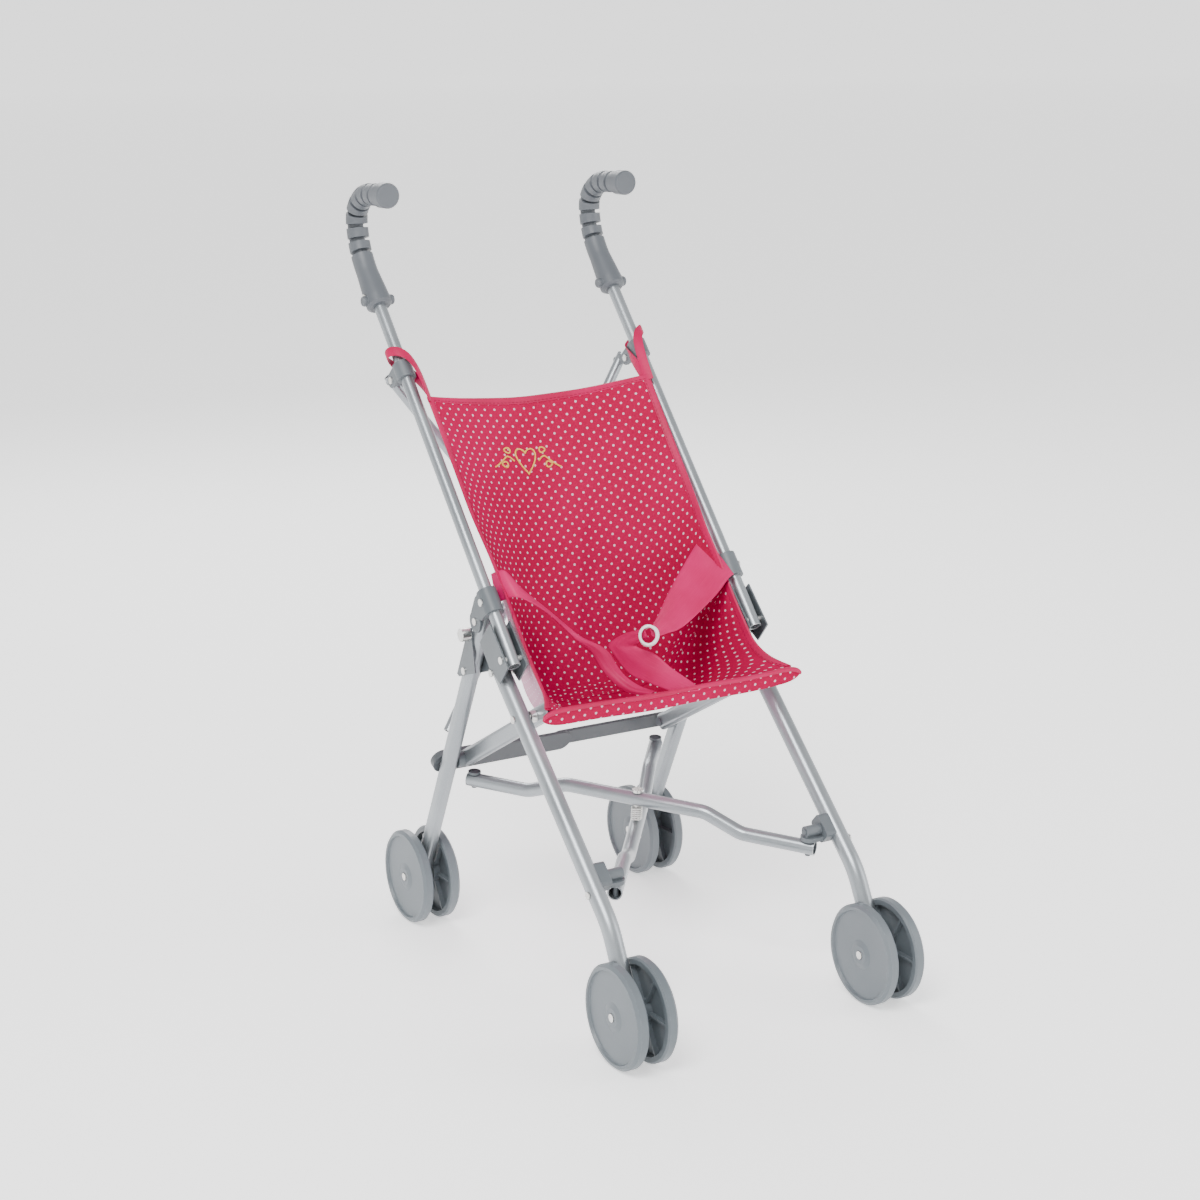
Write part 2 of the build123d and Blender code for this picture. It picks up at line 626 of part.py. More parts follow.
middle = cross_space(0, cross_span / 2)
cross_up = Vector(0, chord_up.X, chord_up.Y)
with BuildPart() as cross_bolt:
    for radius, low, high in (
        (RIVET_R, -CROSS_HALF_GAP - CROSS_R - 1.0, CROSS_HALF_GAP + CROSS_R + 1.0),
        (4.0, CROSS_HALF_GAP + CROSS_R + CLEAR, CROSS_HALF_GAP + CROSS_R + 2.2),
        (4.0, -CROSS_HALF_GAP - CROSS_R - 3.2, -CROSS_HALF_GAP - CROSS_R - CLEAR),
    ):
        with BuildSketch(Plane(origin=middle + cross_up * low, z_dir=cross_up)):
            Circle(radius)
        extrude(amount=high - low)
save(cross_bolt, "cross_bolt")

SPRING_R = 3.6
SPRING_WIRE = 0.6
spring_length = 2 * (CROSS_HALF_GAP - CROSS_R) - 2 * SPRING_WIRE - 0.4
with BuildPart() as cross_spring:
    with BuildLine() as coil:
        Helix(
            pitch=spring_length / 6,
            height=spring_length,
            radius=SPRING_R,
            center=middle - cross_up * (spring_length / 2),
            direction=cross_up,
        )
    with BuildSketch(Plane(origin=coil.line @ 0, z_dir=coil.line % 0)):
        Circle(SPRING_WIRE)
    sweep(path=coil.line, is_frenet=True)
save(cross_spring, "cross_spring")

# ---- rear brace: two bars hinged in the middle that lock the frame open ----
BRACE_LIFT = REAR_W / 2 + CLEAR


def brace_space(x, along, lift):
    p = on_rear(BRACE_ALONG + along, BRACE_LIFT + lift)
    return Vector(x, p.X, p.Y)


def brace_plane(lift):
    return Plane(origin=brace_space(0, 0, lift), x_dir=(1, 0, 0), z_dir=(0, REAR_OUT.X, REAR_OUT.Y))


BRACE_HOLE = STUD_R + RUN_FIT
LAP_LENGTH = 36.0  # of the left bar, cut to half thickness so that the right bar folds over it
with BuildPart() as brace_left:
    with BuildSketch(brace_plane(0)):
        with Locations((-HALF_TRACK / 2, 0)):
            SlotOverall(HALF_TRACK + BRACE_W, BRACE_W)
        with Locations((-HALF_TRACK, 0)):
            Circle(BRACE_HOLE, mode=Mode.SUBTRACT)
    extrude(amount=BRACE_T)
    with BuildSketch(brace_plane(BRACE_T / 2)):
        with Locations((-LAP_LENGTH / 2 + BRACE_W / 2, 0)):
            Rectangle(LAP_LENGTH + BRACE_W, BRACE_W + 2)
    extrude(amount=BRACE_T, mode=Mode.SUBTRACT)
    with BuildSketch(brace_plane(-0.01)):
        Circle(3.0)
    extrude(amount=BRACE_T + 1.0)
save(brace_left, "brace_left")

with BuildPart() as brace_right:
    with BuildSketch(brace_plane(BRACE_T / 2 + 0.15)):
        with Locations((HALF_TRACK / 2, 0)):
            SlotOverall(HALF_TRACK + 13, 13)
        Circle(3.0 + RUN_FIT, mode=Mode.SUBTRACT)
    extrude(amount=BRACE_T / 2 - 0.15)
    with BuildSketch(brace_plane(0)):
        with Locations((HALF_TRACK, 0)):
            Circle(6.5)
    extrude(amount=BRACE_T)
    with BuildSketch(brace_plane(BRACE_T - 0.01)):
        with Locations((HALF_TRACK, 0)):
            Circle(5.0)
    extrude(amount=1.5)
save(brace_right, "brace_right")

# ---- seat sling: back panel, seat panel and side wings in one piece of cloth ----
CLOTH_T = 2.0
SEAT_HALF = 80.0
TOP_HALF = 92.0
SLING_TOP = yz(141.0, 404.0)
CREASE = yz(52.0, 176.0)
LIP = yz(-56.0, 207.0)
wing_edge = [yz(34.0, 290.0), yz(-8.0, 236.0)]


def cloth_panel(a, b, half_a, half_b):
    """A flat panel between two level edges, as thick as its folded hems."""
    run = (b - a).normalized()
    length = (b - a).length
    plane = Plane(origin=(0, a.X, a.Y), x_dir=(1, 0, 0), z_dir=(0, -run.Y, run.X))
    with BuildSketch(plane) as panel:
        with BuildLine():
            Polyline((-half_a, 0), (half_a, 0), (half_b, length), (-half_b, length), close=True)
        make_face()
    extrude(panel.sketch, amount=CLOTH_T / 2, both=True)


with BuildPart() as seat_sling:
    cloth_panel(SLING_TOP, CREASE, TOP_HALF, SEAT_HALF)
    cloth_panel(LIP, CREASE, SEAT_HALF, SEAT_HALF)
    for x in (-SEAT_HALF, SEAT_HALF - CLOTH_T):
        with BuildSketch(side_plane(x)):
            with BuildLine():
                Polyline(*flat([SLING_TOP, *wing_edge, LIP, CREASE]), close=True)
            make_face()
        extrude(amount=CLOTH_T)
save(seat_sling, "seat_sling")

# ---- harness: flat webbing from each side of the sling to a ring, and one strap between the legs ----
STRAP_W = 22.0
RING_R = 5.6
RING_WIRE = 1.5
RING_AT = yz(-18.7, 250.0)
RING_TILT = 35.0  # of the ring's flat from upright
ring_normal = Vector(0, -cos(radians(RING_TILT)), sin(radians(RING_TILT)))


def webbing(start, end, across, width_start, width_end):
    """A flat strap between two points, with its width along across."""
    run = (end - start).normalized()
    normal = run.cross(across).normalized()
    side = normal.cross(run).normalized()
    with BuildSketch(Plane(origin=start, x_dir=side, z_dir=normal)) as strap:
        with BuildLine():
            Polyline(
                (-width_start / 2, 0), (width_start / 2, 0), (width_end / 2, -(end - start).length),
                (-width_end / 2, -(end - start).length), close=True,
            )
        make_face()
    extrude(strap.sketch, amount=WEB_T / 2, both=True)


with BuildPart() as harness_strap:
    webbing(
        at_side(yz(22.0, 279.0), -SEAT_HALF + CLOTH_T + 6.5),
        at_side(RING_AT, -RING_R - RING_WIRE - 2.2),
        Vector(0, 0.35, 0.94),
        STRAP_W,
        STRAP_W / 2,
    )
save_both(harness_strap, "harness_strap")

with BuildPart() as crotch_strap:
    webbing(
        at_side(yz(-42.0, 205.6), 0),
        at_side(yz(-24.0, 239.5), 0),
        Vector(1, 0, 0),
        STRAP_W,
        STRAP_W / 2,
    )
save(crotch_strap, "crotch_strap")

with BuildPart() as strap_ring:
    with BuildSketch(Plane(origin=(0, RING_AT.X, RING_AT.Y), x_dir=ring_normal, z_dir=(1, 0, 0))):
        with Locations((0, RING_R)):
            Circle(RING_WIRE)
    revolve(axis=Axis((0, RING_AT.X, RING_AT.Y), tuple(ring_normal)))
save(strap_ring, "strap_ring")
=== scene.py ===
import json
import math

import bmesh
import bpy
from mathutils import Matrix, Vector


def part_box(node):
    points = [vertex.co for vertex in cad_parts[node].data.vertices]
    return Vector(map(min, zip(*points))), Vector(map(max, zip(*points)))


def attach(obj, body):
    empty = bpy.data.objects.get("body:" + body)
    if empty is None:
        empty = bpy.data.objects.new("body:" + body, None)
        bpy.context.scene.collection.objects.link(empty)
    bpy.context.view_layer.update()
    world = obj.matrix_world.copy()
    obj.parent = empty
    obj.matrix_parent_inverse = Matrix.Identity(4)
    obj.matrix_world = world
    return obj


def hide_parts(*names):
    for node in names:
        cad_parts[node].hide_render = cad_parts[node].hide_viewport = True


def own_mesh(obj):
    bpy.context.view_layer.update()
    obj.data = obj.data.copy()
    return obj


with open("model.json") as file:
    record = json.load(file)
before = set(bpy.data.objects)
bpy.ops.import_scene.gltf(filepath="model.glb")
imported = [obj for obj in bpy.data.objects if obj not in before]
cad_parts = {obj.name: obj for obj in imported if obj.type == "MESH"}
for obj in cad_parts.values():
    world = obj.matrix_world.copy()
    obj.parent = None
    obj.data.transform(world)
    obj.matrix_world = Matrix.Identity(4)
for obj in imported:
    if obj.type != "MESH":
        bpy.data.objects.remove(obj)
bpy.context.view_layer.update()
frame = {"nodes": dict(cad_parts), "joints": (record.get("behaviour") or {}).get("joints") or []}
nodes = frame["nodes"]
pivot = {j["name"]: Vector(j["pos_m"]) for j in frame["joints"]}
MM = 0.001

# ---- the tubes ----
# Thin-walled steel tube, bent cold and sprayed with satin silver-grey paint. The paint lies on a
# faint orange-peel skin, gathers dust in places and rubs brighter where the tubes slide past each other.


class Link:
    """A shader socket that does sums: every operator adds the Math or Mix node that it needs."""

    def __init__(self, tree, socket):
        self.tree, self.socket = tree, socket

    def _math(self, kind, a, b=None):
        values = {0: a} if b is None else {0: a, 1: b}
        return self.tree.node("ShaderNodeMath", {"operation": kind}, values)

    def __add__(self, other):
        return self._math("ADD", self, other)

    def __sub__(self, other):
        return self._math("SUBTRACT", self, other)

    def __rsub__(self, other):
        return self._math("SUBTRACT", other, self)

    def __mul__(self, other):
        return self._math("MULTIPLY", self, other)

    def __truediv__(self, other):
        return self._math("DIVIDE", self, other)

    __radd__, __rmul__ = __add__, __mul__

    def power(self, other):
        return self._math("POWER", self, other)

    def either(self, other):
        return self._math("MAXIMUM", self, other)

    def fold(self):
        """Distance of a value from the nearest whole number."""
        return self._math("PINGPONG", self, 0.5)

    def smooth(self, low, high):
        """0 below low, 1 above high, eased between."""
        values = {"Value": self, "From Min": low, "From Max": high}
        return self.tree.node("ShaderNodeMapRange", {"interpolation_type": "SMOOTHSTEP"}, values)


class Finish:
    """One material, with its node tree and the few calls that fill it."""

    def __init__(self, name, metallic=0.0, coat=0.0, specular=0.5):
        self.material = bpy.data.materials.new(name)
        self.material.use_nodes = True
        self.nodes = self.material.node_tree.nodes
        self.links = self.material.node_tree.links
        self.shader = self.nodes["Principled BSDF"]
        self.shader.inputs["Metallic"].default_value = metallic
        self.shader.inputs["Coat Weight"].default_value = coat
        self.shader.inputs["Coat Roughness"].default_value = 0.25
        self.shader.inputs["Specular IOR Level"].default_value = specular

    def put(self, socket, value):
        if isinstance(value, Link):
            self.links.new(value.socket, socket)
        else:
            socket.default_value = value

    def node(self, kind, settings=None, values=None, out=0):
        """Adds a node, sets its settings, then fills its sockets, and gives back one output."""
        made = self.nodes.new(kind)
        for name, value in (settings or {}).items():
            setattr(made, name, value)
        for key, value in (values or {}).items():
            self.put(made.inputs[key], value)
        return Link(self, made.outputs[out])

    def place(self):
        return self.node("ShaderNodeTexCoord", out="Object")

    def noise(self, scale, detail=3.0, where=None, out=0):
        values = {"Vector": where or self.place(), "Scale": scale, "Detail": detail}
        return self.node("ShaderNodeTexNoise", None, values, out)

    def mix(self, factor, a, b):
        """Colour a where factor is 0 and b where it is 1."""
        made = self.nodes.new("ShaderNodeMix")
        made.data_type = "RGBA"
        for socket, value in ((made.inputs["Factor"], factor), (made.inputs[6], a), (made.inputs[7], b)):
            self.put(socket, value)
        return Link(self, made.outputs[2])

    def bump(self, height, depth, strength=1.0, under=None):
        values = {"Height": height, "Distance": depth, "Strength": strength}
        if under is not None:
            values["Normal"] = under
        return self.node("ShaderNodeBump", None, values)

    def wear(self, width=0.0006):
        """1 at corners, 0 on flats: how far a rounded normal turns from the true one."""
        soft = self.node("ShaderNodeBevel", {"samples": 4}, {"Radius": width})
        hard = self.node("ShaderNodeNewGeometry", out="Normal")
        cosine = self.node("ShaderNodeVectorMath", {"operation": "DOT_PRODUCT"}, {0: soft, 1: hard}, "Value")
        return (1.0 - cosine).smooth(0.01, 0.14)

    def finish(self, color, roughness, normal=None):
        self.put(self.shader.inputs["Base Color"], color)
        self.put(self.shader.inputs["Roughness"], roughness)
        if normal is not None:
            self.put(self.shader.inputs["Normal"], normal)
        return self.material


def tint(color, gain, lift=0.0):
    """A colour made lighter or darker."""
    return tuple(min(1.0, c * gain + lift) for c in color[:3]) + (1,)


def silver_paint():
    paint = Finish("silver_paint", metallic=0.75, coat=0.3)
    peel = paint.noise(900.0, 2.0)
    cloud = paint.noise(14.0, 3.0).smooth(0.35, 0.7)
    fleck = paint.noise(5200.0, 1.0).smooth(0.5, 0.75)
    rubbed = paint.wear() * paint.noise(220.0, 4.0).smooth(0.4, 0.62)
    silver = paint.mix(cloud, (0.25, 0.272, 0.29, 1), (0.31, 0.333, 0.352, 1))
    silver = paint.mix(fleck * 0.3, silver, (0.62, 0.645, 0.67, 1))
    silver = paint.mix(rubbed * 0.7, silver, (0.70, 0.69, 0.67, 1))
    gloss = 0.3 + cloud * 0.07 + fleck * 0.06
    return paint.finish(silver, gloss, paint.bump(peel, 0.00006, 0.35))


def smooth_shaded(obj, angle=32):
    obj.data.polygons.foreach_set("use_smooth", [True] * len(obj.data.polygons))
    obj.data.set_sharp_from_angle(angle=math.radians(angle))


def coat(finish, *names):
    """Gives CAD nodes their finish: every node whose name starts with one of the names."""
    for name, obj in nodes.items():
        if name.startswith(names):
            obj.data.materials.clear()
            obj.data.materials.append(finish)
            smooth_shaded(obj)


coat(silver_paint(), "handle_tube", "front_leg", "rear_leg", "seat_rail", "back_bar", "cross_tube")

# ---- channel brackets and gussets ----
# Pressed steel plate, 1.2 mm thick, folded round the tubes and painted a darker blue-grey. The
# paint is thinner on the cut edges, where a little bare steel shows.


def plate_paint():
    paint = Finish("plate_paint", metallic=0.35, coat=0.2)
    cloud = paint.noise(22.0, 4.0).smooth(0.3, 0.75)
    edge = paint.wear(0.0005) * paint.noise(400.0, 3.0).smooth(0.35, 0.6)
    grey = paint.mix(cloud, (0.085, 0.098, 0.108, 1), (0.115, 0.13, 0.142, 1))
    grey = paint.mix(edge * 0.75, grey, (0.42, 0.43, 0.44, 1))
    return paint.finish(grey, 0.36 + cloud * 0.1, paint.bump(paint.noise(1100.0, 2.0), 0.00005, 0.4))


coat(plate_paint(), "channel_bracket", "gusset")

# ---- moulded joints and wheels ----
# Injection-moulded polypropylene in a mid blue-grey: sleeves, brackets, swivels and joint blocks at
# the pivots, and the wheels. Fine spark-eroded grain, a dull sheen, and scuffs on the rims.


def grey_plastic(name, dark, light, gloss, grain=1500.0):
    plastic = Finish(name)
    flow = plastic.noise(9.0, 3.0).smooth(0.3, 0.7)
    grains = plastic.noise(grain, 2.0)
    scuff = plastic.wear(0.0007) * plastic.noise(300.0, 4.0).smooth(0.42, 0.62)
    grey = plastic.mix(flow, dark, light)
    grey = plastic.mix(scuff * 0.5, grey, tint(light, 1.7, 0.05))
    return plastic.finish(grey, gloss + grains * 0.16, plastic.bump(grains, 0.00007, 0.5))


joint_grey = grey_plastic("joint_plastic", (0.080, 0.093, 0.103, 1), (0.108, 0.122, 0.134, 1), 0.36)
coat(joint_grey, "side_sleeve", "upper_bracket", "front_joint", "rear_joint", "upper_swivel",
     "front_swivel", "cross_ear")
wheel_grey = grey_plastic("wheel_plastic", (0.100, 0.119, 0.133, 1), (0.132, 0.151, 0.166, 1), 0.33, 900.0)
coat(wheel_grey, "front_wheel", "rear_wheel")

# ---- brace ----
# Two flat bars in dark grey nylon, hinged behind the rear legs. They are smoother than the joints
# and a little worn along their long edges.

brace_grey = grey_plastic("brace_plastic", (0.055, 0.062, 0.069, 1), (0.078, 0.086, 0.095, 1), 0.32, 1100.0)
coat(brace_grey, "brace")

# ---- rivets, axles and spring ----
# Zinc-plated steel: pressed rivet heads, axle caps and the coil spring at the lower cross. The
# plating is bright and slightly yellow, with fine turning marks.


def zinc_plate():
    zinc = Finish("zinc_plate", metallic=1.0)
    bloom = zinc.noise(160.0, 4.0).smooth(0.3, 0.7)
    marks = zinc.noise(2600.0, 2.0)
    bright = zinc.mix(bloom, (0.62, 0.61, 0.58, 1), (0.74, 0.74, 0.73, 1))
    return zinc.finish(bright, 0.24 + bloom * 0.14, zinc.bump(marks, 0.00004, 0.4))


coat(zinc_plate(), "handle_rivets", "leg_rivets", "rear_rivets", "front_axle", "rear_axle", "back_rivet",
     "cross_bolt", "cross_spring")

# ---- grips ----
# Hooked grips moulded in one piece of grey plastic and pushed over the tube ends. Deep finger slots run
# round the bend and along the top arm to a disc at its end. The foot has a collar and two screw bosses.

GRIP_R = 8.2 * MM
GRIP_FROM = 297 * MM  # up the handle tube to the foot of the grip
COLLAR_OUT = 1.5 * MM  # how far the foot's collar stands out
DISC_OUT = 1.1 * MM  # and the disc at the end of the arm
SLOTS = 8
SLOT_DEPTH = 3.6 * MM
SLOTTED = (0.30, 0.90)  # shares of the grip's length between which the slots lie
BOSS_R = 3.9  # of the screw bosses, in millimetres
HANDLE_ANGLE = math.radians(49.4)  # of the handle tubes, from the ground
RIM_POINTS = 40


def smooth_path(points, steps):
    """Points evenly spaced along a smooth curve through the given ones."""
    curve = bpy.data.curves.new("path", "CURVE")
    curve.dimensions = "3D"
    spline = curve.splines.new("NURBS")
    spline.points.add(len(points) - 1)
    for p, co in zip(spline.points, points):
        p.co = (*co, 1)
    spline.order_u = 3
    spline.use_endpoint_u = True
    curve.resolution_u = 24
    holder = bpy.data.objects.new("path", curve)
    line = [v.co.copy() for v in bpy.data.meshes.new_from_object(holder).vertices]
    bpy.data.objects.remove(holder)
    lengths = [0.0]
    for a, b in zip(line, line[1:]):
        lengths.append(lengths[-1] + (b - a).length)
    even = []
    k = 0
    for i in range(steps + 1):
        want = lengths[-1] * i / steps
        while k < len(line) - 2 and lengths[k + 1] < want:
            k += 1
        span = lengths[k + 1] - lengths[k]
        even.append(line[k].lerp(line[k + 1], (want - lengths[k]) / span if span else 0.0))
    return even


def new_piece(name, mesh_or_bm, finish, body):
    """Links a mesh as a named piece, coats it, and lets it ride."""
    if isinstance(mesh_or_bm, bmesh.types.BMesh):
        mesh = bpy.data.meshes.new(name)
        bmesh.ops.recalc_face_normals(mesh_or_bm, faces=mesh_or_bm.faces)
        mesh_or_bm.to_mesh(mesh)
        mesh_or_bm.free()
    else:
        mesh = mesh_or_bm
    obj = bpy.data.objects.new(name, mesh)
    bpy.context.scene.collection.objects.link(obj)
    mesh.materials.append(finish)
    smooth_shaded(obj)
    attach(obj, body)
    return obj


def tube_mesh(bm, path, side, radius_at, rim=RIM_POINTS):
    """Rings along a path; radius_at(share of length, angle) is the radius there."""
    rings = []
    for i, p in enumerate(path):
        ahead = (path[min(i + 1, len(path) - 1)] - path[max(i - 1, 0)]).normalized()
        out = ahead.cross(side).normalized()
        share = i / (len(path) - 1)
        ring = []
        for k in range(rim):
            turn = 2 * math.pi * k / rim
            r = radius_at(share, turn)
            ring.append(bm.verts.new(p + (side * math.sin(turn) + out * math.cos(turn)) * r))
        rings.append(ring)
    for a, b in zip(rings, rings[1:]):
        for k in range(rim):
            bm.faces.new((a[k], a[(k + 1) % rim], b[(k + 1) % rim], b[k]))
    bm.faces.new(rings[0])
    bm.faces.new(rings[-1])
    return rings


grip_grey = grey_plastic("grip_plastic", (0.066, 0.074, 0.085, 1), (0.092, 0.101, 0.113, 1), 0.38)
handle_way = Vector((0, math.cos(HANDLE_ANGLE), math.sin(HANDLE_ANGLE)))
across_x = Vector((1, 0, 0))


def grip_radius(share, turn):
    """Foot collar, slotted bend and arm, and end disc. turn 0 is the inside of the hook."""
    collar = COLLAR_OUT * (1 - max(0.0, min(1.0, (share - 0.06) / 0.16)))
    disc = DISC_OUT * max(0.0, min(1.0, (share - 0.905) / 0.012))
    rounding = -2.0 * MM * max(0.0, 1 - share / 0.012) - 1.0 * MM * max(0.0, (share - 0.988) / 0.012)
    groove = 0.0
    first, last = SLOTTED
    if first < share < last:
        phase = (share - first) / (last - first) * SLOTS
        wave = abs((phase % 1.0) - 0.5)
        open_side = 0.3 + 0.7 * min(1.0, max(0.0, 0.5 - math.cos(turn)) / 0.6)
        groove = SLOT_DEPTH * max(0.0, min(1.0, (0.15 - wave) / 0.035)) * open_side
    return GRIP_R + collar + disc + rounding - groove


def boss_radius(share, turn):
    return (BOSS_R - 0.6 * max(0.0, share - 0.8) / 0.2) * MM


for side_name in ("left", "right"):
    low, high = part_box(f"grip_{side_name}")
    x = (low.x + high.x) / 2
    foot = Vector((x, *(pivot["handle_fold"] + handle_way * GRIP_FROM).yz))
    top_z = high.z - 9.4 * MM
    rear = high.y
    route = [foot, foot + handle_way * 0.022, foot + handle_way * 0.040,
             Vector((x, rear - 9 * MM, top_z - 36 * MM)), Vector((x, rear - 6 * MM, top_z - 14 * MM)),
             Vector((x, rear - 22 * MM, top_z - 1 * MM)), Vector((x, rear - 40 * MM, top_z)),
             Vector((x, low.y, top_z))]
    body = bmesh.new()
    tube_mesh(body, smooth_path(route, 460), across_x, grip_radius)
    for side in (-1, 1):
        boss = foot + handle_way * 0.006 + across_x * side * 8.0 * MM
        post = [boss + across_x * side * k * 0.55 * MM for k in range(9)]
        tube_mesh(body, post, handle_way, boss_radius, 20)
    grip = new_piece(f"hook_grip_{side_name}", body, grip_grey, f"handle_{side_name}")
    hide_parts(f"grip_{side_name}")

# ---- seat sling ----
# Printed cotton, hot pink with small white dots, in two lapped cuts that share one smooth surface. The
# back sags between the handle tubes; the seat turns forward at the crease. The reverse is much paler.

AXLE_MID_Y = pivot["handle_fold"].y + 1.0 * MM  # the middle of the wheelbase
CLOTH_T = 0.9 * MM


def station(share, table):
    """Smooth value between the rows of a table of evenly spaced stations."""
    k = share * (len(table) - 1)
    i = min(int(k), len(table) - 2)
    t = k - i
    p = [table[min(max(j, 0), len(table) - 1)] for j in (i - 1, i, i + 1, i + 2)]
    return tuple(
        0.5 * (2 * b + (c - a) * t + (2 * a - 5 * b + 4 * c - d) * t * t + (3 * b - a - 3 * c + d) * t ** 3)
        for a, b, c, d in zip(*p)
    )


# each station: edge x, y, z; middle y, z; squareness of the section; half width of its flat floor
SLING = [
    (93.5, 131, 407, 146, 397, 2.0, 80), (93.0, 114, 386, 134, 366, 2.0, 80),
    (92.5, 92, 359, 120, 328, 2.1, 79),
    (92.0, 68, 330, 106, 286, 2.4, 78), (90.0, 45, 304, 90, 240, 3.2, 77), (89.6, 26, 283, 73, 203, 4.6, 77),
    (89.4, 10, 263, 56, 180, 6.0, 78), (89.4, -7, 243, 34, 178, 6.5, 78), (89.8, -20, 230, 8, 186, 6.0, 79),
    (93.0, -34, 222, -20, 196, 4.5, 82), (101.0, -50, 217, -48, 206, 2.6, 90),
]


def sling_point(u, v):
    """Point of the cloth: u from -1 to 1 across, v from 0 at the top hem to 1 at the front."""
    ex, ey, ez, my, mz, square, floor = station(v, SLING)
    rise = abs(u) ** square
    x = (abs(u) * floor + (ex - floor) * rise) * (1 if u >= 0 else -1)
    y = my + (ey - my) * rise
    z = mz + (ez - mz) * rise
    ripple = 0.9 * math.sin(9 * u + 4 * v) * math.sin(7 * v + 2) * (1 - abs(u) ** 6)
    pull = 1.6 * math.exp(-((v - 0.62) / 0.05) ** 2) * math.sin(14 * u + 1) * (1 - u * u)
    slant = (u - 0.35) * 1.6 + (v - 0.2) * 2.4
    fold = 2.4 * math.exp(-(slant / 0.16) ** 2) * math.sin(math.pi * min(1, v * 2))
    y += ripple - fold * 0.8
    z += pull * 0.5 + fold * 0.3
    return Vector((x * MM, y * MM + AXLE_MID_Y, z * MM))


def sling_normal(u, v):
    e = 0.004
    du = sling_point(min(1, u + e), v) - sling_point(max(-1, u - e), v)
    dv = sling_point(u, min(1, v + e)) - sling_point(u, max(0, v - e))
    n = dv.cross(du).normalized()
    return n if n.z - n.y > 0 else -n


def cloth_map(mesh, grid):
    """Stores where each point was on the flat cloth, in metres, for the print and the weave."""
    across = [[0.0] * len(row) for row in grid]
    down = [[0.0] * len(row) for row in grid]
    middle = len(grid[0]) // 2
    for j, row in enumerate(grid):
        for i in range(middle + 1, len(row)):
            across[j][i] = across[j][i - 1] + (row[i] - row[i - 1]).length
        for i in range(middle - 1, -1, -1):
            across[j][i] = across[j][i + 1] - (row[i + 1] - row[i]).length
        for i in range(len(row)):
            down[j][i] = down[j - 1][i] + (row[i] - grid[j - 1][i]).length if j else 0.0
    layer = mesh.attributes.new("flat_cloth", "FLOAT_VECTOR", "POINT")
    values = []
    for j, row in enumerate(grid):
        for i in range(len(row)):
            values += [across[j][i], down[j][i], 0.0]
    layer.data.foreach_set("vector", values)


def dotted_cotton(name, dark, light, dot_color):
    """Plain-weave cotton: pink ground, white dots in staggered rows, threads, slubs and soft fading."""
    cotton = Finish(name, specular=0.08)
    flat = cotton.node("ShaderNodeAttribute", {"attribute_name": "flat_cloth"}, out="Vector")
    parts = cotton.nodes.new("ShaderNodeSeparateXYZ")
    cotton.links.new(flat.socket, parts.inputs[0])
    along, down = Link(cotton, parts.outputs[0]), Link(cotton, parts.outputs[1])
    wobble = (cotton.noise(90.0, 2.0, flat) - 0.5) * 0.0006
    pitch, dot = 8.7 * MM, 0.92 * MM  # of the dots: spacing along a row, and radius
    rows = []
    for shift in (0.0, 0.5):
        a = ((along + wobble) / pitch + shift).fold()
        b = ((down + wobble) / pitch + shift).fold()
        near = (a * a + b * b).power(0.5)
        rows.append(1.0 - near.smooth(dot / pitch * 0.82, dot / pitch * 1.12))
    dots = rows[0].either(rows[1])
    thread = 0.42 * MM
    warp = (along / thread).fold() * 2
    weft = (down / thread).fold() * 2
    weave = warp * weft
    slub = cotton.noise(700.0, 4.0, flat)
    fade = cotton.noise(9.0, 3.0, flat).smooth(0.3, 0.72)
    pink = cotton.mix(fade, dark, light)
    pink = cotton.mix(slub.smooth(0.45, 0.75) * 0.3, pink, tint(light, 1.25, 0.01))
    pink = cotton.mix(weave * 0.25, pink, tint(dark, 0.6))
    cloth = cotton.mix(dots * 0.9, pink, dot_color)
    relief = cotton.bump(weave + slub * 0.8 + dots * 0.5, 0.00009, 0.6)
    return cotton.finish(cloth, 0.78 + slub * 0.14, relief)


def cloth_grid(name, point, cols, rows, finish, body, thick, reverse_finish=None):
    """A sheet of cloth on a grid, with its thickness, its flat map, and another finish on its back."""
    grid = [[point(-1 + 2 * i / cols, j / rows) for i in range(cols + 1)] for j in range(rows + 1)]
    wide = cols + 1
    faces = [
        (j * wide + i, (j + 1) * wide + i, (j + 1) * wide + i + 1, j * wide + i + 1)
        for j in range(rows) for i in range(cols)
    ]
    mesh = bpy.data.meshes.new(name)
    mesh.from_pydata([p for row in grid for p in row], [], faces)
    cloth_map(mesh, grid)
    obj = new_piece(name, mesh, finish, body)
    shell = obj.modifiers.new("thickness", "SOLIDIFY")
    shell.thickness = thick
    shell.offset = 0
    if reverse_finish:
        obj.data.materials.append(reverse_finish)
        shell.material_offset = 1
    apply_modifiers(obj)
    return obj


def apply_modifiers(obj):
    seen = obj.evaluated_get(bpy.context.evaluated_depsgraph_get())
    done = bpy.data.meshes.new_from_object(seen)
    old = obj.data
    obj.modifiers.clear()
    obj.data = done
    bpy.data.meshes.remove(old)


cotton = dotted_cotton("dotted_cotton", (0.335, 0.0, 0.040, 1), (0.42, 0.0, 0.062, 1), (0.66, 0.46, 0.55, 1))
reverse = dotted_cotton("cotton_reverse", (0.66, 0.30, 0.43, 1), (0.74, 0.42, 0.54, 1), (0.82, 0.70, 0.75, 1))
ON_BACK = "upper_swivel_left"  # the body that the back of the sling moves with
ON_SEAT = "seat_rail_left"
CREASE = 0.56  # share of the sling's length from the top hem to the crease between back and seat
LAP = 0.02  # how far the two lap over each other there


def back_point(u, v):
    """Point of the back's cut, in its own shares across and down."""
    return sling_point(u, v * (CREASE + LAP))


def seat_point(u, v):
    return sling_point(u, CREASE - LAP + v * (1 - CREASE + LAP))


